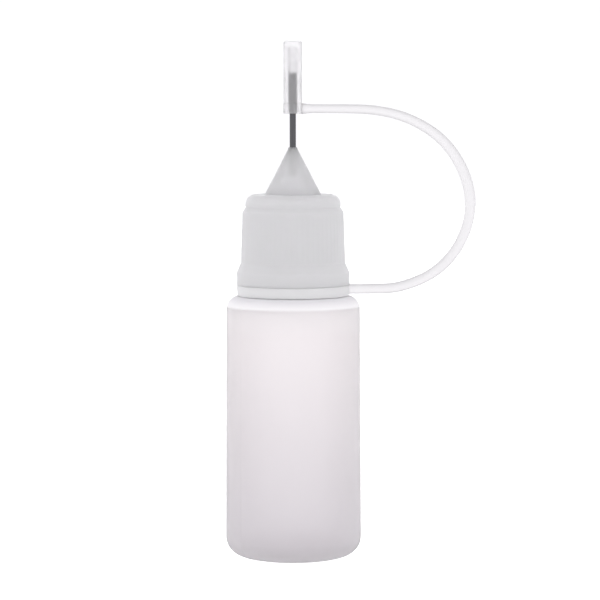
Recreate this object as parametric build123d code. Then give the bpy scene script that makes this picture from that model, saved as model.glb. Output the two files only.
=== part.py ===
"""Needle-tip squeeze bottle for glue: a 10 ml bottle, a nozzle with a steel needle, a screw cap,
and a push-on needle sleeve that is tethered to a ring round the neck.

All sizes are in millimetres. The origin is the centre of the base, on the surface that the bottle
stands on. +Z runs up the axis of the bottle and the needle, and the tether's strap is on the +X side.
"""

from build123d import *
import math
import os

# ---------------------------------------------------------------- driving dimensions
body_radius = 11.0  # at the shoulder
body_foot_radius = 11.2  # at the top of the heel
wall = 0.9
heel_radius = 3.0
foot_radius = 6.4  # inner edge of the flat ring that the bottle stands on
base_rise = 0.8  # how far the middle of the base is pushed up
shoulder_height = 43.0
shoulder_radius = 2.2

neck_radius = 6.4
neck_bore_radius = 5.2
neck_root_radius = 0.5
neck_edge = 0.3  # the bevel of the rim
neck_height = 56.85

thread_pitch = 2.1
thread_depth = 0.75
thread_root_width = 1.0
thread_crest_width = 0.5
thread_sink = 0.2  # how far its root reaches into the wall
thread_start_angle = 40  # degrees from +X, the same on the neck and in the cap
neck_thread_turns = 2.0
cap_thread_turns = 1.5
thread_start = 49.25  # height of the lower end of the neck's thread

cap_bottom = 44.8
cap_top = 59.65
cap_wall = 1.3
band_radius = 9.3  # the plain band round the foot of the cap
band_top = 46.85
grip_bottom = 48.65
grip_top = 56.75
grip_bottom_radius = 8.5
grip_top_radius = 8.35
crown_bottom = 57.55
crown_bottom_radius = 7.8
crown_radius = 7.7
crown_corner_radius = 1.6
cap_bore_radius = 7.3
cap_recess_radius = 6.75  # the bore round the nozzle's flange
cap_recess_bottom = 56.55
cap_plate = 1.4  # thickness of the top
cap_opening_gap = 0.1  # round the foot of the nozzle's cone
grip_edge = 0.3  # the bevel at the foot of the grip
rib_count = 60
rib_depth = 0.12
rib_end = 0.4  # how far the ribs stop short of the grip's ends

cone_base_radius = 4.6
cone_tip_radius = 0.7
cone_tip_height = 67.35
flange_radius = 6.5
flange_bottom = 56.95
flange_top = 58.15
plug_radius = 5.1
plug_bore_radius = 3.9
plug_bottom = 52.05
plug_lead_in = 0.5  # height of the bevel that guides the plug into the neck

needle_radius = 0.52
needle_bore_radius = 0.32
needle_bottom = 62.25
needle_tip = 79.35

sleeve_radius = 1.48
sleeve_bottom = 72.85
sleeve_top = 84.65
sleeve_bore_radius = 0.56
sleeve_bore_top = 83.65
sleeve_collar_radius = 1.6
sleeve_collar_height = 1.5
sleeve_mouth_radius = 0.75
sleeve_mouth_depth = 1.2
sleeve_step = 0.15  # the small bevels at the collar and inside the mouth
sleeve_edge = 0.3

ring_bottom = 43.15
ring_top = 44.7
ring_bore_radius = 7.45
ring_bottom_radius = 9.15
ring_top_radius = 9.3

strap_radius = 0.85
sleeve_lug_end = 2.6
ring_lug_end = 10.2
strap_gap = 0.05  # between the strap and the sleeve's lug, which move apart
sleeve_lug_radii = (0.64, 0.7)  # at the piece and at the strap
ring_lug_radii = (0.56, 0.78)

# The strap's route from the sleeve's lug to the ring's lug, as (x, z) in the plane of the axis.
strap_route = [
    (sleeve_lug_end + strap_gap, 73.65),
    (7.8, 73.65),
    (13.4, 73.5),
    (18.9, 72.25),
    (24.6, 68.85),
    (28.3, 63.35),
    (29.5, 57.15),
    (27.4, 50.85),
    (23.2, 46.45),
    (17.6, 44.25),
    (13.7, 44.05),
    (ring_lug_end, 44.05),
]


# ---------------------------------------------------------------- helpers
def turned(draw_outline):
    """The solid made by turning an outline of (radius, height) once round the Z axis."""
    with BuildPart() as part:
        with BuildSketch(Plane.XZ):
            with BuildLine():
                draw_outline()
            make_face()
        revolve(axis=Axis.Z)
    return part.part


def corner_arc(start, end, centre, radius):
    """The shorter arc from start to end round centre."""
    toward = (Vector(*start) + Vector(*end)) * 0.5 - Vector(*centre)
    middle = Vector(*centre) + toward.normalized() * radius
    ThreePointArc(start, (middle.X, middle.Y), end)


def thread(root_radius, crest_radius, start_height, turns):
    """A right-hand trapezoidal thread, as one solid whose root is sunk into the wall."""
    sunk = math.copysign(thread_sink, crest_radius - root_radius)
    flank = (thread_root_width - thread_crest_width) / 2 / thread_depth
    half_crest = thread_crest_width / 2
    half_sunk = thread_root_width / 2 + flank * thread_sink
    path = Helix(pitch=thread_pitch, height=turns * thread_pitch, radius=root_radius)
    with BuildSketch(Plane.XZ) as section:
        with BuildLine():
            Polyline(
                (root_radius - sunk, -half_sunk),
                (crest_radius, -half_crest),
                (crest_radius, half_crest),
                (root_radius - sunk, half_sunk),
                close=True,
            )
        make_face()
    swept = sweep(sections=section.sketch, path=path, is_frenet=True)
    return Pos(0, 0, start_height) * Rot(0, 0, thread_start_angle) * swept


def lug(radii, start, end, height):
    """A short round root for the strap, along +X at the given height, wider at its outer end."""
    stub = Solid.make_cone(radii[0], radii[1], end - start)
    return Pos(start, 0, height) * Rot(0, 90, 0) * stub


# ---------------------------------------------------------------- the pieces
def bottle():
    """The blow-moulded body, open at the neck, with the outside thread for the cap."""
    inner_radius = body_radius - wall
    inner_foot_radius = body_foot_radius - wall
    heel_start = body_foot_radius - heel_radius
    straight_top = shoulder_height - shoulder_radius
    roof = shoulder_height - wall
    inner_shoulder = shoulder_radius - wall
    inner_heel = heel_radius - wall
    dome_radius = (foot_radius**2 + base_rise**2) / (2 * base_rise)

    def outline():
        # outside, from the middle of the base up to the rim
        corner_arc((0, base_rise), (foot_radius, 0), (0, base_rise - dome_radius), dome_radius)
        Line((foot_radius, 0), (heel_start, 0))
        corner_arc(
            (heel_start, 0),
            (body_foot_radius, heel_radius),
            (heel_start, heel_radius),
            heel_radius,
        )
        Line((body_foot_radius, heel_radius), (body_radius, straight_top))
        corner_arc(
            (body_radius, straight_top),
            (body_radius - shoulder_radius, shoulder_height),
            (body_radius - shoulder_radius, straight_top),
            shoulder_radius,
        )
        Line(
            (body_radius - shoulder_radius, shoulder_height),
            (neck_radius + neck_root_radius, shoulder_height),
        )
        corner_arc(
            (neck_radius + neck_root_radius, shoulder_height),
            (neck_radius, shoulder_height + neck_root_radius),
            (neck_radius + neck_root_radius, shoulder_height + neck_root_radius),
            neck_root_radius,
        )
        Polyline(
            (neck_radius, shoulder_height + neck_root_radius),
            (neck_radius, neck_height - neck_edge),
            (neck_radius - neck_edge, neck_height),
            (neck_bore_radius, neck_height),
            (neck_bore_radius, roof),
            (inner_radius - inner_shoulder, roof),
        )
        # inside, from the shoulder down to the middle of the base
        corner_arc(
            (inner_radius - inner_shoulder, roof),
            (inner_radius, roof - inner_shoulder),
            (inner_radius - inner_shoulder, roof - inner_shoulder),
            inner_shoulder,
        )
        Line((inner_radius, roof - inner_shoulder), (inner_foot_radius, heel_radius))
        corner_arc(
            (inner_foot_radius, heel_radius),
            (heel_start, wall),
            (heel_start, heel_radius),
            inner_heel,
        )
        Line((heel_start, wall), (foot_radius, wall))
        corner_arc(
            (foot_radius, wall),
            (0, base_rise + wall),
            (0, base_rise + wall - dome_radius),
            dome_radius,
        )
        Line((0, base_rise + wall), (0, base_rise))

    neck_thread = thread(neck_radius, neck_radius + thread_depth, thread_start, neck_thread_turns)
    return turned(outline) + neck_thread


def screw_cap():
    """The cap that holds the nozzle down on the neck: a band, a ribbed grip and a rounded crown."""
    crown_corner = crown_radius - crown_corner_radius
    corner_height = cap_top - crown_corner_radius
    opening_radius = cone_base_radius + cap_opening_gap
    plate_bottom = cap_top - cap_plate
    band_bore_radius = band_radius - cap_wall
    bore_step = cap_bore_radius - cap_recess_radius
    bore_bottom = grip_bottom - 0.4
    band_bore_top = band_top - 0.2

    def outline():
        Polyline(
            (band_bore_radius, cap_bottom),
            (band_radius, cap_bottom),
            (band_radius, band_top),
            (grip_bottom_radius + grip_edge / 2, grip_bottom - grip_edge),
            (grip_bottom_radius, grip_bottom),
            (grip_top_radius, grip_top),
            (crown_bottom_radius, crown_bottom),
            (crown_radius, corner_height),
        )
        corner_arc(
            (crown_radius, corner_height),
            (crown_corner, cap_top),
            (crown_corner, corner_height),
            crown_corner_radius,
        )
        Polyline(
            (crown_corner, cap_top),
            (opening_radius, cap_top),
            (opening_radius, plate_bottom),
            (cap_recess_radius, plate_bottom),
            (cap_recess_radius, cap_recess_bottom),
            (cap_bore_radius, cap_recess_bottom - bore_step),
            (cap_bore_radius, bore_bottom),
            (band_bore_radius, band_bore_top),
            (band_bore_radius, cap_bottom),
        )

    shell = turned(outline)
    grooves = [
        Rot(0, 0, 360 * number / rib_count) * rib_groove() for number in range(rib_count)
    ]
    inner_thread = thread(
        cap_bore_radius,
        cap_bore_radius - thread_depth,
        thread_start - thread_pitch / 2,
        cap_thread_turns,
    )
    return (shell - grooves) + inner_thread


def rib_groove():
    """The cutter for one groove between two ribs of the cap's grip, on the +X side."""
    lean = math.degrees(math.atan2(grip_bottom_radius - grip_top_radius, grip_top - grip_bottom))
    middle_radius = (grip_bottom_radius + grip_top_radius) / 2
    middle_height = (grip_bottom + grip_top) / 2
    length = grip_top - grip_bottom - 2 * rib_end
    cutter_radius = 0.3
    cutter = Solid.make_cylinder(cutter_radius, length)
    centred = Pos(0, 0, -length / 2) * cutter
    outside = middle_radius + cutter_radius - rib_depth
    return Pos(outside, 0, middle_height) * Rot(0, -lean, 0) * centred


def nozzle_plug():
    """The cone that carries the needle, with a flange on the neck's rim and a plug in its bore."""
    cavity_top_radius = 0.8
    cavity_bottom = 57.45
    cavity_edge = 0.6
    tip_edge = 0.15
    lead_in_width = 0.3

    def outline():
        Polyline(
            (plug_bore_radius, plug_bottom),
            (plug_radius - lead_in_width, plug_bottom),
            (plug_radius, plug_bottom + plug_lead_in),
            (plug_radius, flange_bottom),
            (flange_radius, flange_bottom),
            (flange_radius, flange_top),
            (cone_base_radius, flange_top),
            (cone_base_radius, cap_top),
            (cone_tip_radius, cone_tip_height - tip_edge),
            (cone_tip_radius - tip_edge, cone_tip_height),
            (needle_radius, cone_tip_height),
            (needle_radius, needle_bottom),
            (cavity_top_radius, needle_bottom),
            (plug_bore_radius - cavity_edge, cavity_bottom),
            (plug_bore_radius, cavity_bottom - cavity_edge),
            (plug_bore_radius, plug_bottom),
        )

    return turned(outline)


def needle():
    """The blunt stainless tube, seated in the nozzle's tip."""

    def outline():
        Polyline(
            (needle_bore_radius, needle_bottom),
            (needle_radius, needle_bottom),
            (needle_radius, needle_tip),
            (needle_bore_radius, needle_tip),
            close=True,
        )

    return turned(outline)


def tether_ring():
    """The loose ring round the neck, between the shoulder and the cap, with the strap's lug."""
    edge = 0.25

    def outline():
        Polyline(
            (ring_bore_radius, ring_bottom),
            (ring_bottom_radius - edge, ring_bottom),
            (ring_bottom_radius, ring_bottom + edge),
            (ring_top_radius, ring_top - edge),
            (ring_top_radius - edge, ring_top),
            (ring_bore_radius, ring_top),
            close=True,
        )

    height = strap_route[-1][1]
    middle_radius = (ring_bore_radius + ring_bottom_radius) / 2
    return turned(outline) + lug(ring_lug_radii, middle_radius, ring_lug_end, height)


def needle_sleeve():
    """The push-on cover of the needle, closed at the top, with the strap's lug at its foot."""
    collar_top = sleeve_bottom + sleeve_collar_height
    corner_radius = sleeve_radius - sleeve_edge
    corner_height = sleeve_top - sleeve_edge
    mouth_top = sleeve_bottom + sleeve_mouth_depth

    def outline():
        Polyline(
            (sleeve_mouth_radius, sleeve_bottom),
            (sleeve_collar_radius, sleeve_bottom),
            (sleeve_collar_radius, collar_top),
            (sleeve_radius, collar_top + sleeve_step),
            (sleeve_radius, corner_height),
        )
        corner_arc(
            (sleeve_radius, corner_height),
            (corner_radius, sleeve_top),
            (corner_radius, corner_height),
            sleeve_edge,
        )
        Polyline(
            (corner_radius, sleeve_top),
            (0, sleeve_top),
            (0, sleeve_bore_top),
            (sleeve_bore_radius, sleeve_bore_top),
            (sleeve_bore_radius, mouth_top),
            (sleeve_mouth_radius, mouth_top - sleeve_step),
            (sleeve_mouth_radius, sleeve_bottom),
        )

    height = strap_route[0][1]
    lug_start = (sleeve_bore_radius + sleeve_radius) / 2
    return turned(outline) + lug(sleeve_lug_radii, lug_start, sleeve_lug_end, height)


def strap_radii():
    """The radius of the arc at each corner of the route: as large as its two runs allow."""
    points = [Vector(x, 0, z) for x, z in strap_route]
    runs = [end - start for start, end in zip(points, points[1:])]
    share = 0.45  # of the shorter run, so that two neighbouring arcs never meet
    radii = []
    for before, after in zip(runs, runs[1:]):
        half_turn = math.radians(before.get_angle(after)) / 2
        shorter = min(before.length, after.length)
        radii.append(share * shorter / math.tan(half_turn))
    return radii


def tether_strap():
    """The flexible strap, as a round tube of one size along straight runs and tangent arcs."""
    points = [(x, 0, z) for x, z in strap_route]
    radii = strap_radii()
    path = FilletPolyline(*points, radius=radii)
    section = Plane(origin=path @ 0, z_dir=path % 0) * Circle(strap_radius)
    strap = sweep(sections=section, path=path)
    swept_volume = math.pi * strap_radius**2 * path.length
    print("strap: radii", [round(radius, 1) for radius in radii])
    print("strap: length", round(path.length, 2))
    print("strap: volume over section times length", round(strap.volume / swept_volume, 4))
    return strap


pieces = {
    "bottle": bottle,
    "nozzle_plug": nozzle_plug,
    "needle": needle,
    "screw_cap": screw_cap,
    "tether_ring": tether_ring,
    "tether_strap": tether_strap,
    "needle_sleeve": needle_sleeve,
}

os.makedirs("parts", exist_ok=True)
for name, make in pieces.items():
    export_step(make(), f"parts/{name}.step")
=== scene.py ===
"""The looks of a needle-tip squeeze bottle for glue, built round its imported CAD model.

Everything is in metres, in the model's own frame: +Z runs up the bottle's axis, the strap of the
tether is on the +X side, and the camera stands on the -Y side.
"""

import bmesh
import bpy
import math
import numpy as np
from mathutils import Matrix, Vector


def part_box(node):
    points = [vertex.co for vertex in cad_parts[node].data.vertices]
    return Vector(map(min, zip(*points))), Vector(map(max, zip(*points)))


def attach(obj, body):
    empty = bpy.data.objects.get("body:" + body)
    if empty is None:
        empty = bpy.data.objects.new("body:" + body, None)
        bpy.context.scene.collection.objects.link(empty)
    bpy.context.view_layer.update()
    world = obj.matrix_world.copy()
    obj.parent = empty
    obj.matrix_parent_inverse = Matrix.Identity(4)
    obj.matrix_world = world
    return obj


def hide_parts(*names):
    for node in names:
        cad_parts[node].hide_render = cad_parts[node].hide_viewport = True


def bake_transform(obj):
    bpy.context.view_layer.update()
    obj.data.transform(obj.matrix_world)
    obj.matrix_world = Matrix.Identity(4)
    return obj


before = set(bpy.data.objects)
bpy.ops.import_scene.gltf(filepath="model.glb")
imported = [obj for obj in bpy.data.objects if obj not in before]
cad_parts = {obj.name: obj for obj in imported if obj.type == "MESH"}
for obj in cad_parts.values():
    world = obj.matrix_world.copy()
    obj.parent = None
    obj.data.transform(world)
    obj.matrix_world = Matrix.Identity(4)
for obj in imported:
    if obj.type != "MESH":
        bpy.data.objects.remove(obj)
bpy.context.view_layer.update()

MM = 0.001

# ---------------------------------------------------------------- sizes, in metres
# Each piece's outer size comes from the frame. What the frame can't tell is named here, and in
# the function that makes the piece.
bottle_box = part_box("bottle")
cap_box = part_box("screw_cap")
nozzle_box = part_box("nozzle_plug")
needle_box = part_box("needle")
ring_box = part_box("tether_ring")
sleeve_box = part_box("needle_sleeve")

WALL = 0.9 * MM
HEEL_RADIUS = 3.0 * MM
FOOT_RADIUS = 6.4 * MM
BASE_RISE = 0.8 * MM
SHOULDER_HEIGHT = 43.0 * MM
SHOULDER_RADIUS = 2.2 * MM
BODY_TOP_RADIUS = 11.0 * MM  # just under the shoulder; the foot is a little wider
NECK_RADIUS = 6.4 * MM
NECK_BORE = 5.2 * MM

THREAD_PITCH = 2.1 * MM
THREAD_DEPTH = 0.75 * MM
THREAD_ROOT = 1.0 * MM  # how wide it is at its root, and at its crest
THREAD_CREST = 0.5 * MM
THREAD_ANGLE = math.radians(40)  # where it starts
THREAD_FADE = 0.08  # share of a turn over which each end runs out
NECK_THREAD_START = 49.25 * MM
NECK_THREAD_TURNS = 2.0
CAP_THREAD_TURNS = 1.5

PARTING_ANGLE = math.radians(-139)  # where the mould's two halves met, and again opposite
PARTING_RIDGE = 0.07 * MM
PARTING_SPREAD = 0.14 * MM
WALL_WAVES = 0.03 * MM  # how uneven the blown wall is inside

CLOSED_UP = 0.005 * MM  # how much tighter than the needle the soft pieces on it are

# The strap's route in the XZ plane, in millimetres, from inside the sleeve's wall to inside the ring.
STRAP_ROUTE = [
    (1.5, 73.65),
    (7.8, 73.65),
    (13.4, 73.5),
    (18.9, 72.25),
    (24.6, 68.85),
    (28.3, 63.35),
    (29.5, 57.15),
    (27.4, 50.85),
    (23.2, 46.45),
    (17.6, 44.25),
    (13.7, 44.05),
    (8.6, 44.05),
]
# Its thickness in millimetres at shares of its length, and its width.
STRAP_THICKNESS = [(0, 1.8), (0.008, 1.6), (0.02, 1.42), (0.12, 1.45), (0.5, 1.78), (0.8, 1.7), (1, 1.62)]
STRAP_WIDTH = 1.6 * MM

CAMERA_PLACE = (1.13 * MM, -390 * MM, 72.65 * MM)
CAMERA_LENS = 142.5
CAMERA_DIP = 4.46  # degrees below level
CAMERA_ROLL = -0.1

# The studio's brightness straight below, just above eye level and overhead; and of the backdrop.
LIGHT_BELOW, LIGHT_LEVEL, LIGHT_ABOVE = 0.66, 1.3, 0.72
BRIGHTEST_AT = 0.1
BACKDROP = 1.05


# ---------------------------------------------------------------- node helpers
def ramp(nodes, links, value, first, last, start=0, end=1):
    """A number that goes evenly from first to last while value goes from start to end."""
    node = nodes.new("ShaderNodeMapRange")
    node.inputs["From Min"].default_value = start
    node.inputs["From Max"].default_value = end
    node.inputs["To Min"].default_value = first
    node.inputs["To Max"].default_value = last
    links.new(value, node.inputs["Value"])
    return node.outputs[0]


def noise(nodes, links, spots, scale, detail):
    """Soft noise, with about scale lumps to the metre where spots are in metres."""
    node = nodes.new("ShaderNodeTexNoise")
    node.inputs["Scale"].default_value = scale
    node.inputs["Detail"].default_value = detail
    links.new(spots, node.inputs["Vector"])
    return node.outputs["Fac"]


def mixed(nodes, links, factor, first, second):
    """A colour between first and second. Each is a colour or the output of a node."""
    node = nodes.new("ShaderNodeMix")
    node.data_type = "RGBA"
    links.new(factor, node.inputs["Factor"])
    for letter, colour in (("A", first), ("B", second)):
        if isinstance(colour, tuple):
            node.inputs[letter].default_value = (*colour, 1)
        else:
            links.new(colour, node.inputs[letter])
    return node.outputs["Result"]


# ---------------------------------------------------------------- camera, light and floor
def make_camera():
    """A long lens a little above the middle of the bottle, as for a product picture."""
    data = bpy.data.cameras.new("camera")
    data.sensor_width = 36
    data.lens = CAMERA_LENS
    data.clip_start = 0.01
    data.clip_end = 20
    camera = bpy.data.objects.new("camera", data)
    bpy.context.collection.objects.link(camera)
    stand = Matrix.Translation(CAMERA_PLACE)
    look_down = Matrix.Rotation(math.radians(90 - CAMERA_DIP), 4, "X")
    roll = Matrix.Rotation(math.radians(CAMERA_ROLL), 4, "Z")
    camera.matrix_world = stand @ look_down @ roll
    bpy.context.scene.camera = camera
    return camera


def make_world():
    """Soft white light from all round, strongest just above eye level and least from below.

    The camera itself sees an even white backdrop.
    """
    world = bpy.data.worlds.new("studio")
    bpy.context.scene.world = world
    world.use_nodes = True
    nodes, links = world.node_tree.nodes, world.node_tree.links
    nodes.clear()
    place = nodes.new("ShaderNodeTexCoord")
    split = nodes.new("ShaderNodeSeparateXYZ")
    links.new(place.outputs["Generated"], split.inputs[0])
    height = split.outputs["Z"]
    lower = ramp(nodes, links, height, LIGHT_BELOW, LIGHT_LEVEL, -1, BRIGHTEST_AT)
    upper = ramp(nodes, links, height, LIGHT_LEVEL, LIGHT_ABOVE, BRIGHTEST_AT, 1)
    both = nodes.new("ShaderNodeMath")
    both.operation = "MINIMUM"
    links.new(lower, both.inputs[0])
    links.new(upper, both.inputs[1])

    path = nodes.new("ShaderNodeLightPath")
    seen = nodes.new("ShaderNodeMix")
    seen.inputs["B"].default_value = BACKDROP
    shade = nodes.new("ShaderNodeBackground")
    shade.inputs["Color"].default_value = (0.985, 0.98, 1, 1)
    output = nodes.new("ShaderNodeOutputWorld")
    links.new(path.outputs["Is Camera Ray"], seen.inputs["Factor"])
    links.new(both.outputs[0], seen.inputs["A"])
    links.new(seen.outputs["Result"], shade.inputs["Strength"])
    links.new(shade.outputs[0], output.inputs["Surface"])


def make_floor():
    """A plain pale table top, wide enough for every view."""
    half = 1.5
    mesh = bpy.data.meshes.new("floor")
    corners = [(-half, -half, 0), (half, -half, 0), (half, half, 0), (-half, half, 0)]
    mesh.from_pydata(corners, [], [(0, 1, 2, 3)])
    floor = bpy.data.objects.new("floor", mesh)
    bpy.context.collection.objects.link(floor)
    material = bpy.data.materials.new("floor")
    material.use_nodes = True
    shader = material.node_tree.nodes["Principled BSDF"]
    shader.inputs["Base Color"].default_value = (0.9, 0.9, 0.9, 1)
    shader.inputs["Roughness"].default_value = 0.9
    shader.inputs["Specular IOR Level"].default_value = 0
    shader.inputs["Emission Color"].default_value = (1, 1, 1, 1)
    shader.inputs["Emission Strength"].default_value = 0.8
    mesh.materials.append(material)
    floor.visible_diffuse = False
    floor.visible_glossy = False
    floor.visible_transmission = False
    return floor


# ---------------------------------------------------------------- mesh helpers
def rounded(corners, step_angle=math.radians(9)):
    """Points along a line through corners (radius, height, rounding), with its corners rounded."""
    points = [np.array(corners[0][:2])]
    for before, corner, after in zip(corners, corners[1:], corners[2:]):
        here = np.array(corner[:2])
        back = np.array(before[:2]) - here
        on = np.array(after[:2]) - here
        back /= np.linalg.norm(back)
        on /= np.linalg.norm(on)
        half = math.acos(np.clip(back @ on, -1, 1)) / 2
        if corner[2] == 0 or half > math.radians(89.5):
            points.append(here)
            continue
        reach = corner[2] / math.tan(half)
        middle = back + on
        centre = here + middle / np.linalg.norm(middle) * corner[2] / math.sin(half)
        start, end = here + back * reach - centre, here + on * reach - centre
        turn = math.atan2(start[0] * end[1] - start[1] * end[0], start @ end)
        steps = max(2, round(abs(turn) / step_angle))
        for number in range(steps + 1):
            angle = turn * number / steps
            cos, sin = math.cos(angle), math.sin(angle)
            spoke = np.array([start[0] * cos - start[1] * sin, start[0] * sin + start[1] * cos])
            points.append(centre + spoke)
    points.append(np.array(corners[-1][:2]))
    return np.array(points)


def spread(points, spacing):
    """The same line with more points, so that no two neighbours are further apart than spacing."""
    out = [points[0]]
    for start, end in zip(points, points[1:]):
        steps = max(1, math.ceil(np.linalg.norm(end - start) / spacing - 1e-6))
        out += [start + (end - start) * number / steps for number in range(1, steps + 1)]
    return np.array(out)


def smooth_step(value, low, high):
    """From 0 at low to 1 at high, with a smooth start and end."""
    part = np.clip((value - low) / (high - low), 0, 1)
    return part * part * (3 - 2 * part)


def lathe(name, line, angles, closed, shape=None):
    """A mesh of revolution of a line of (radius, height). shape moves the radius at each angle."""
    turn, radius = np.meshgrid(angles, line[:, 0], indexing="xy")
    height = np.repeat(line[:, 1:2], len(angles), axis=1)
    if shape is not None:
        radius = shape(turn, radius, height)
    around = len(angles)
    spots = np.stack([radius * np.cos(turn), radius * np.sin(turn), height], axis=2)
    rows = len(line) if closed else len(line) - 1
    faces = []
    for row in range(rows):
        low = row * around
        high = (row + 1) % len(line) * around
        for column in range(around):
            beside = (column + 1) % around
            faces.append((low + column, low + beside, high + beside, high + column))
    mesh = bpy.data.meshes.new(name)
    mesh.from_pydata(spots.reshape(-1, 3).tolist(), [], faces)
    return finished(name, mesh)


def finished(name, mesh):
    """An object of the mesh, with doubled points joined, faces outwards and smooth shading."""
    work = bmesh.new()
    work.from_mesh(mesh)
    bmesh.ops.remove_doubles(work, verts=work.verts, dist=1e-7)
    bmesh.ops.recalc_face_normals(work, faces=work.faces)
    work.to_mesh(mesh)
    work.free()
    mesh.polygons.foreach_set("use_smooth", [True] * len(mesh.polygons))
    piece = bpy.data.objects.new(name, mesh)
    bpy.context.collection.objects.link(piece)
    return piece


def even_angles(count):
    """Angles evenly spaced round a full turn."""
    return np.arange(count) * 2 * math.pi / count


def thread_height(turn, height, start, turns):
    """How far a thread stands up, from 0 to 1, at each angle and height of a cylinder."""
    share = ((turn - THREAD_ANGLE) / (2 * math.pi)) % 1
    lap = np.round((height - start) / THREAD_PITCH - share)
    along = share + lap
    off = np.abs(height - start - THREAD_PITCH * along)
    flank = (THREAD_ROOT - THREAD_CREST) / 2
    stands = np.clip((THREAD_ROOT / 2 - off) / flank, 0, 1)
    runs_in = smooth_step(along, 0, THREAD_FADE)
    return stands * runs_in * smooth_step(turns - along, 0, THREAD_FADE)


# ---------------------------------------------------------------- the pieces
def make_bottle():
    """The blow-moulded body: outside, rim and inside in one closed skin."""
    radius = bottle_box[1].x
    rim = bottle_box[1].z
    inner = radius - WALL
    top = BODY_TOP_RADIUS
    roof = SHOULDER_HEIGHT - WALL
    throat = roof + 4 * MM  # where the inside is joined to the outside
    neck_foot = SHOULDER_HEIGHT + 0.6 * MM
    dome = (FOOT_RADIUS**2 + BASE_RISE**2) / (2 * BASE_RISE)
    arc_step = math.radians(6)

    def dome_line(lift):
        across = np.linspace(0, FOOT_RADIUS, 12)[:-1]
        rise = BASE_RISE - dome + np.sqrt(dome**2 - across**2)
        return np.column_stack([across, rise + lift])

    outside = rounded(
        [
            (FOOT_RADIUS, 0, 0),
            (radius, 0, HEEL_RADIUS),
            (top, SHOULDER_HEIGHT, SHOULDER_RADIUS),
            (NECK_RADIUS, SHOULDER_HEIGHT, 0.5 * MM),
            (NECK_RADIUS, rim, 0.3 * MM),
            (NECK_BORE, rim, 0.25 * MM),
            (NECK_BORE, throat, 0),
        ],
        arc_step,
    )
    inside = rounded(
        [
            (NECK_BORE, throat, 0),
            (NECK_BORE, roof, 0.5 * MM),
            (top - WALL, roof, SHOULDER_RADIUS - WALL),
            (inner, WALL, HEEL_RADIUS - WALL),
            (FOOT_RADIUS, WALL, 0),
        ],
        arc_step,
    )
    body = spread(outside[outside[:, 1] <= neck_foot], 1.5 * MM)
    neck = spread(outside[outside[:, 1] > neck_foot], 0.12 * MM)
    inner_line = spread(inside, 1.5 * MM)[1:]
    line = np.vstack([dome_line(0), body, neck, inner_line, dome_line(WALL)[::-1]])
    outer_rows = len(dome_line(0)) + len(body) + len(neck)
    is_outside = (np.arange(len(line)) < outer_rows)[:, None]

    # Extra columns of points make the two fine parting lines.
    fine = np.array([-0.35, -0.2, -0.1, 0, 0.1, 0.2, 0.35]) * MM / radius
    seams = [PARTING_ANGLE, PARTING_ANGLE + math.pi]
    extra = np.concatenate([seam + fine for seam in seams]) % (2 * math.pi)
    plain = even_angles(180)
    apart = np.abs((plain[:, None] - extra[None, :] + math.pi) % (2 * math.pi) - math.pi)
    angles = np.sort(np.concatenate([plain[apart.min(axis=1) > 0.006], extra]))

    def shape(turn, radii, heights):
        off_seam = radii * np.abs(np.sin(turn - PARTING_ANGLE))
        seam = PARTING_RIDGE * np.exp(-((off_seam / PARTING_SPREAD) ** 2))
        on_body = smooth_step(heights, 0.2 * MM, 3 * MM) * (heights < SHOULDER_HEIGHT)
        thread = thread_height(turn, heights, NECK_THREAD_START, NECK_THREAD_TURNS)
        on_neck = (radii > NECK_RADIUS - 0.05 * MM) & (heights > SHOULDER_HEIGHT + 2 * MM)
        outer = radii + seam * on_body + THREAD_DEPTH * thread * on_neck
        # Three slow waves that never line up.
        wave = np.sin(2 * turn + 0.7 + heights * 90) + np.sin(3 * turn - 1.1 - heights * 160)
        wave = wave + 0.6 * np.sin(7 * turn + heights * 310)
        in_body = (heights < roof) & (radii > top - WALL - 0.2 * MM)
        return np.where(is_outside, outer, radii + WALL_WAVES * wave * in_body)

    piece = lathe("bottle_shell", line, angles, False, shape)
    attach(piece, "bottle")
    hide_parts("bottle")
    return piece


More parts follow.
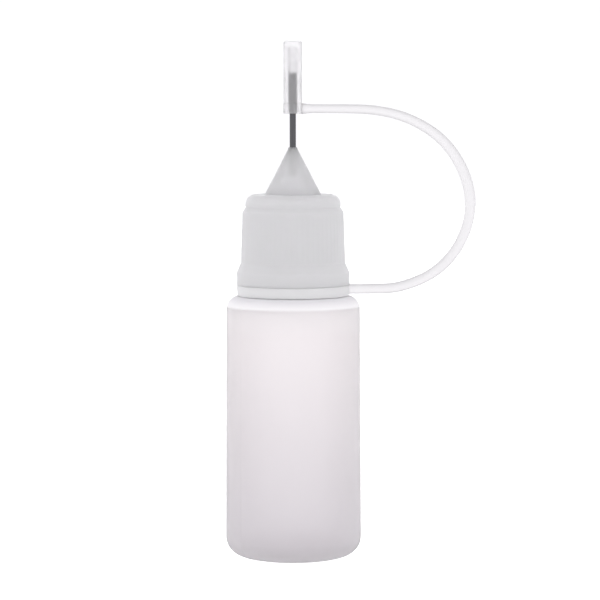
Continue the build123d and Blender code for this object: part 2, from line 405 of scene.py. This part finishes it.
def make_cap():
    """The screw cap: band, ribbed grip and crown outside, thread and recess inside."""
    foot, top = cap_box[0].z, cap_box[1].z
    band, band_top = -cap_box[0].x, 46.85 * MM
    grip_foot, grip_low, grip_high = 48.4 * MM, 48.65 * MM, 56.75 * MM
    grip_foot_radius, grip_top_radius = 8.6 * MM, 8.35 * MM
    crown_foot = 57.55 * MM
    crown_foot_radius, crown_top_radius = 7.8 * MM, 7.7 * MM
    ribs, rib_depth = 60, 0.035 * MM

    opening = 4.7 * MM
    plate = top - 1.4 * MM
    recess, recess_foot = 6.75 * MM, 56.55 * MM
    bore, bore_foot, bore_top = 7.3 * MM, 48.25 * MM, 56.0 * MM
    band_bore, band_bore_top = 8.0 * MM, 46.65 * MM

    outside = rounded(
        [
            (band_bore, foot, 0),
            (band, foot, 0.08 * MM),
            (band, band_top, 0.8 * MM),
            (grip_foot_radius, grip_foot, 0.8 * MM),
            (grip_top_radius, grip_high, 0.35 * MM),
            (crown_foot_radius, crown_foot, 0.3 * MM),
            (crown_top_radius, top, 1.6 * MM),
            (opening, top, 0.25 * MM),
            (opening, plate, 0.1 * MM),
            (recess, plate, 0.15 * MM),
            (recess, recess_foot, 0.1 * MM),
            (bore, bore_top, 0.1 * MM),
            (bore, bore_foot, 0.3 * MM),
            (band_bore, band_bore_top, 0.3 * MM),
            (band_bore, foot, 0),
        ]
    )
    line = spread(outside, 0.35 * MM)[:-1]
    inner_wall = (line[:, 0] < bore + 0.02 * MM) & (line[:, 1] < bore_top + 0.15 * MM)
    inner_wall = inner_wall & (line[:, 1] > band_bore_top - 0.1 * MM)
    is_inner = inner_wall[:, None]
    thread_start = NECK_THREAD_START - THREAD_PITCH / 2

    def shape(turn, radii, heights):
        groove = (0.5 + 0.5 * np.cos(turn * ribs)) ** 2
        along = smooth_step(heights, grip_low + 0.1 * MM, grip_low + 0.7 * MM)
        along = along * smooth_step(grip_high - heights, 0.1 * MM, 0.6 * MM)
        on_grip = radii > grip_top_radius - 0.15 * MM
        outer = radii - rib_depth * groove * along * on_grip
        thread = thread_height(turn, heights, thread_start, CAP_THREAD_TURNS)
        return np.where(is_inner, radii - THREAD_DEPTH * thread, outer)

    piece = lathe("cap_shell", line, even_angles(ribs * 6), True, shape)
    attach(piece, "screw_cap")
    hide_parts("screw_cap")
    return piece


def make_nozzle():
    """The cone with its flange and plug, bored for the needle."""
    low, tip = nozzle_box[0].z, nozzle_box[1].z
    plug, plug_bore = 5.1 * MM, 3.9 * MM
    flange, flange_foot, flange_top = nozzle_box[1].x, 56.95 * MM, 58.15 * MM
    cone, cone_foot = 4.6 * MM, 59.65 * MM
    tip_radius = 0.7 * MM
    hole = needle_box[1].x - CLOSED_UP
    needle_low = needle_box[0].z
    line = rounded(
        [
            (plug_bore, low + 1 * MM, 0),
            (plug_bore, low, 0.15 * MM),
            (plug, low, 0.5 * MM),
            (plug, flange_foot, 0.15 * MM),
            (flange, flange_foot, 0.15 * MM),
            (flange, flange_top, 0.2 * MM),
            (cone, flange_top, 0.3 * MM),
            (cone, cone_foot, 0.5 * MM),
            (tip_radius + 0.06 * MM, 67.1 * MM, 0.5 * MM),
            (tip_radius, tip, 0.1 * MM),
            (hole, tip, 0.04 * MM),
            (hole, needle_low, 0),
            (0.8 * MM, needle_low, 0.1 * MM),
            (3.3 * MM, 57.55 * MM, 0.5 * MM),
            (plug_bore, 56.85 * MM, 0.5 * MM),
            (plug_bore, low + 1 * MM, 0),
        ]
    )
    piece = lathe("nozzle_cone", spread(line, 0.5 * MM)[:-1], even_angles(128), True)
    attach(piece, "nozzle")
    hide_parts("nozzle_plug")
    return piece


def make_needle():
    """The blunt steel tube."""
    low, tip = needle_box[0].z, needle_box[1].z
    radius, bore = needle_box[1].x, 0.32 * MM
    line = rounded(
        [
            (bore, low + 1 * MM, 0),
            (bore, low, 0.03 * MM),
            (radius, low, 0.05 * MM),
            (radius, tip, 0.06 * MM),
            (bore, tip, 0.04 * MM),
            (bore, low + 1 * MM, 0),
        ]
    )
    piece = lathe("needle_tube", spread(line, 1 * MM)[:-1], even_angles(48), True)
    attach(piece, "nozzle")
    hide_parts("needle")
    return piece


def make_ring():
    """The tether's ring round the neck."""
    # It stands closer to its neighbours than the solids do.
    low = ring_box[0].z - 0.12 * MM
    top = ring_box[0].z + 1.55 * MM + 0.095 * MM
    middle = ring_box[0].z + 0.8 * MM
    outer, bore = -ring_box[0].x, 7.45 * MM
    line = rounded(
        [
            (bore, middle, 0),
            (bore, low, 0.06 * MM),
            (outer - 0.1 * MM, low, 0.06 * MM),
            (outer, top, 0.08 * MM),
            (bore, top, 0.06 * MM),
            (bore, middle, 0),
        ]
    )
    piece = lathe("tether_loop", spread(line, 0.4 * MM)[:-1], even_angles(144), True)
    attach(piece, "tether")
    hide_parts("tether_ring")
    return piece


def make_sleeve():
    """The needle's cover: a tube closed at its top, with a collar and a wider mouth at its foot."""
    low, top = sleeve_box[0].z, sleeve_box[1].z
    collar, collar_top = -sleeve_box[0].x, low + 1.5 * MM
    radius = 1.48 * MM
    bore, mouth = 0.56 * MM, 0.66 * MM
    bore_end = top - 1.0 * MM
    needle_tip = needle_box[1].z
    grip = needle_box[1].x - CLOSED_UP
    outside = rounded(
        [
            (mouth, low, 0.05 * MM),
            (collar, low, 0.2 * MM),
            (collar, collar_top, 0.1 * MM),
            (radius, collar_top + 0.15 * MM, 0.1 * MM),
            (radius, top, 0.3 * MM),
            (0, top, 0),
        ]
    )
    inside = rounded(
        [
            (0, bore_end, 0),
            (bore, bore_end, 0.2 * MM),
            (bore, needle_tip + 0.05 * MM, 0),
            (grip, needle_tip, 0),
            (grip, low + 0.4 * MM, 0),
            (mouth, low, 0),
        ]
    )
    line = np.vstack([spread(outside, 0.6 * MM), spread(inside, 0.6 * MM)[:-1]])
    piece = lathe("sleeve_tube", line, even_angles(64), True)
    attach(piece, "needle_sleeve")
    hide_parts("needle_sleeve")
    return piece


def strap_centreline():
    """Points along the strap's smooth line, read from a NURBS spline through its route."""
    curve = bpy.data.curves.new("strap_route", "CURVE")
    curve.dimensions = "3D"
    curve.resolution_u = 12
    spline = curve.splines.new("NURBS")
    spline.points.add(len(STRAP_ROUTE) - 1)
    for point, (x, z) in zip(spline.points, STRAP_ROUTE):
        point.co = (x * MM, 0, z * MM, 1)
    spline.order_u = 3
    spline.use_endpoint_u = True
    holder = bpy.data.objects.new("strap_route", curve)
    bpy.context.collection.objects.link(holder)
    bpy.context.view_layer.update()
    mesh = bpy.data.meshes.new_from_object(holder)
    points = np.array([vertex.co[:] for vertex in mesh.vertices])
    bpy.data.objects.remove(holder)
    bpy.data.curves.remove(curve)
    bpy.data.meshes.remove(mesh)
    return points


def make_strap():
    """The flexible strap between the sleeve and the ring, as a tube along its centreline."""
    path = strap_centreline()
    steps = np.linalg.norm(np.diff(path, axis=0), axis=1)
    along = np.concatenate([[0], np.cumsum(steps)])
    length = along[-1]
    share = along / length
    places, sizes = np.array(STRAP_THICKNESS).T
    thick = np.interp(share, places, sizes * MM)
    forward = np.gradient(path, axis=0)
    forward /= np.linalg.norm(forward, axis=1)[:, None]
    side = np.array([0.0, 1.0, 0.0])
    outward = np.cross(forward, side)
    around = 24
    turn = even_angles(around)
    squareness = 2.5  # 2 would be an ellipse
    cos, sin = np.cos(turn), np.sin(turn)
    across = np.sign(cos) * np.abs(cos) ** (2 / squareness)
    level = np.sign(sin) * np.abs(sin) ** (2 / squareness)
    spots = (
        path[:, None, :]
        + outward[:, None, :] * (thick / 2)[:, None, None] * across[None, :, None]
        + side[None, None, :] * (STRAP_WIDTH / 2) * level[None, :, None]
    )
    rows = len(path)
    faces = [tuple(range(around)), tuple((rows - 1) * around + n for n in range(around))]
    for row in range(rows - 1):
        for column in range(around):
            beside = (column + 1) % around
            low, high = row * around, (row + 1) * around
            faces.append((low + column, low + beside, high + beside, high + column))
    mesh = bpy.data.meshes.new("tether_strip")
    mesh.from_pydata(spots.reshape(-1, 3).tolist(), [], faces)
    piece = finished("tether_strip", mesh)
    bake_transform(piece)
    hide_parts("tether_strap")
    return piece


# ---------------------------------------------------------------- materials
def plastic(
    name,
    colour,
    clear,
    rough,
    depth,
    bend=1.51,
    shine=0.5,
    mottle=0.012,
    speck=0.4,
    uneven=0.05,
    painted_light_and_shade=(),
):
    """Milky soft polyethylene, cloudy and with a fine grain.

    clear is the share of light that goes on through the surface, and depth is how far light
    spreads inside. bend is the index of refraction and shine the strength of the gloss.
    mottle, speck and uneven are how much the colour, the height and the roughness vary.
    The last argument lists (height, other height, colour): painted light and shade, a colour that fades
    out toward the other height.
    """
    lumps, grain_size = 260, 2600
    grain_height = 0.01 * MM
    material = bpy.data.materials.new(name)
    material.use_nodes = True
    nodes, links = material.node_tree.nodes, material.node_tree.links
    shader = nodes["Principled BSDF"]
    place = nodes.new("ShaderNodeTexCoord").outputs["Object"]

    cloud = noise(nodes, links, place, lumps, 4)
    dark = tuple(max(0.0, value - mottle) for value in colour)
    light = tuple(min(1.0, value + mottle) for value in colour)
    tint = mixed(nodes, links, cloud, dark, light)
    split = nodes.new("ShaderNodeSeparateXYZ")
    links.new(place, split.inputs[0])
    # Painted light and shade by height: each colour fades into the plastic's own toward its other height.
    for height, other_height, near_colour in painted_light_and_shade:
        level = ramp(nodes, links, split.outputs["Z"], 0, 1, height, other_height)
        tint = mixed(nodes, links, level, near_colour, tint)
    links.new(tint, shader.inputs["Base Color"])

    grain = noise(nodes, links, place, grain_size, 3)
    gloss = ramp(nodes, links, grain, rough - uneven, rough + uneven)
    links.new(gloss, shader.inputs["Roughness"])
    bump = nodes.new("ShaderNodeBump")
    bump.inputs["Strength"].default_value = speck
    bump.inputs["Distance"].default_value = grain_height
    links.new(grain, bump.inputs["Height"])
    links.new(bump.outputs[0], shader.inputs["Normal"])

    shader.inputs["IOR"].default_value = bend
    shader.inputs["Specular IOR Level"].default_value = shine
    shader.inputs["Transmission Weight"].default_value = clear
    shader.inputs["Subsurface Weight"].default_value = 1.0
    shader.inputs["Subsurface Radius"].default_value = (1.0, 0.98, 1.0)
    shader.inputs["Subsurface Scale"].default_value = depth
    return material


def steel(name):
    """Drawn stainless tube, with fine lines along it."""
    lines_across, lines_along = 9000, 300
    material = bpy.data.materials.new(name)
    material.use_nodes = True
    nodes, links = material.node_tree.nodes, material.node_tree.links
    shader = nodes["Principled BSDF"]
    place = nodes.new("ShaderNodeTexCoord")
    stretch = nodes.new("ShaderNodeMapping")
    stretch.inputs["Scale"].default_value = (lines_across, lines_across, lines_along)
    links.new(place.outputs["Object"], stretch.inputs["Vector"])
    lines = noise(nodes, links, stretch.outputs[0], 1, 3)
    tint = mixed(nodes, links, lines, (0.075, 0.075, 0.08), (0.13, 0.13, 0.135))
    links.new(tint, shader.inputs["Base Color"])
    gloss = ramp(nodes, links, lines, 0.28, 0.42)
    links.new(gloss, shader.inputs["Roughness"])
    shader.inputs["Metallic"].default_value = 1
    return material


def strap_plastic():
    """The strap is thin, so most light goes through it."""
    return plastic(
        "strap_plastic",
        colour=(0.785, 0.775, 0.78),
        clear=1.0,
        rough=0.5,
        depth=1 * MM,
        bend=1.35,
        speck=0.2,
        uneven=0.03,
    )


def bottle_plastic():
    """The body's wall: it lets light through. Its colour carries painted light near the top and painted
    shade that deepens toward the foot.
    """
    painted_light_from, painted_light_top = 37 * MM, 42.5 * MM
    return plastic(
        "bottle_plastic",
        colour=(0.95, 0.927, 0.928),
        clear=1.0,
        rough=0.64,
        depth=2 * MM,
        bend=1.35,
        mottle=0.004,
        # Painted shade, darkest at the foot and gone at the shoulder, then painted light, brightest just
        # under the shoulder.
        painted_light_and_shade=[
            (0, painted_light_top, (0.82, 0.802, 0.815)),
            (painted_light_top, painted_light_from, (1.0, 0.99, 0.99)),
        ],
    )


def shaded_shoulder_plastic():
    """The rounded shoulder and the neck, where no light comes through. Its colour, darker than the
    body's, is painted shade on the parts under the ring and cap.
    """
    return plastic(
        "shaded_shoulder_plastic",
        colour=(0.745, 0.735, 0.755),
        clear=0.0,
        rough=0.5,
        depth=1 * MM,
        shine=0.1,
        mottle=0.004,
        # Painted light: paler at its foot, where it meets the brighter body.
        painted_light_and_shade=[(41.4 * MM, 42.9 * MM, (0.91, 0.895, 0.90))],
    )


def cap_plastic():
    return plastic("cap_plastic", colour=(0.972, 0.955, 0.997), clear=0.35, rough=0.4, depth=0.6 * MM)


def nozzle_plastic():
    return plastic("nozzle_plastic", colour=(0.935, 0.92, 0.955), clear=0.45, rough=0.4, depth=2 * MM)


def ring_plastic():
    return plastic("ring_plastic", colour=(0.99, 0.98, 0.995), clear=0.2, rough=0.35, depth=0.5 * MM)


def sleeve_plastic():
    """The sleeve is clearer than the rest, so that the needle shows through it."""
    return plastic(
        "sleeve_plastic",
        colour=(0.98, 0.97, 0.98),
        clear=0.75,
        rough=0.4,
        depth=0.6 * MM,
        bend=1.42,
    )


def dress(piece, *materials):
    """Gives the piece its materials."""
    piece.data.materials.clear()
    for material in materials:
        piece.data.materials.append(material)


def dress_bottle(piece):
    """Gives the bottle its two looks, which meet just under the shoulder: above that line a darker copy
    of the plastic paints shade, except on faces turned down inside the roof.
    """
    painted_shade_start = 41.3 * MM
    dress(piece, bottle_plastic(), shaded_shoulder_plastic())
    # Faces turned down, under the roof inside, keep the body's plastic without the painted shade.
    for face in piece.data.polygons:
        faces_down = face.normal.z <= -0.5
        face.material_index = int(face.center.z > painted_shade_start and not faces_down)


# ---------------------------------------------------------------- the scene
make_camera()
strap = make_strap()
make_world()
make_floor()

dress(strap, strap_plastic())
dress_bottle(make_bottle())
dress(make_cap(), cap_plastic())
dress(make_nozzle(), nozzle_plastic())
dress(make_ring(), ring_plastic())
dress(make_sleeve(), sleeve_plastic())
dress(make_needle(), steel("needle_steel"))

bounces = 16
scene = bpy.context.scene
scene.view_settings.view_transform = "Standard"
scene.cycles.max_bounces = bounces
scene.cycles.transmission_bounces = bounces
scene.cycles.transparent_max_bounces = bounces
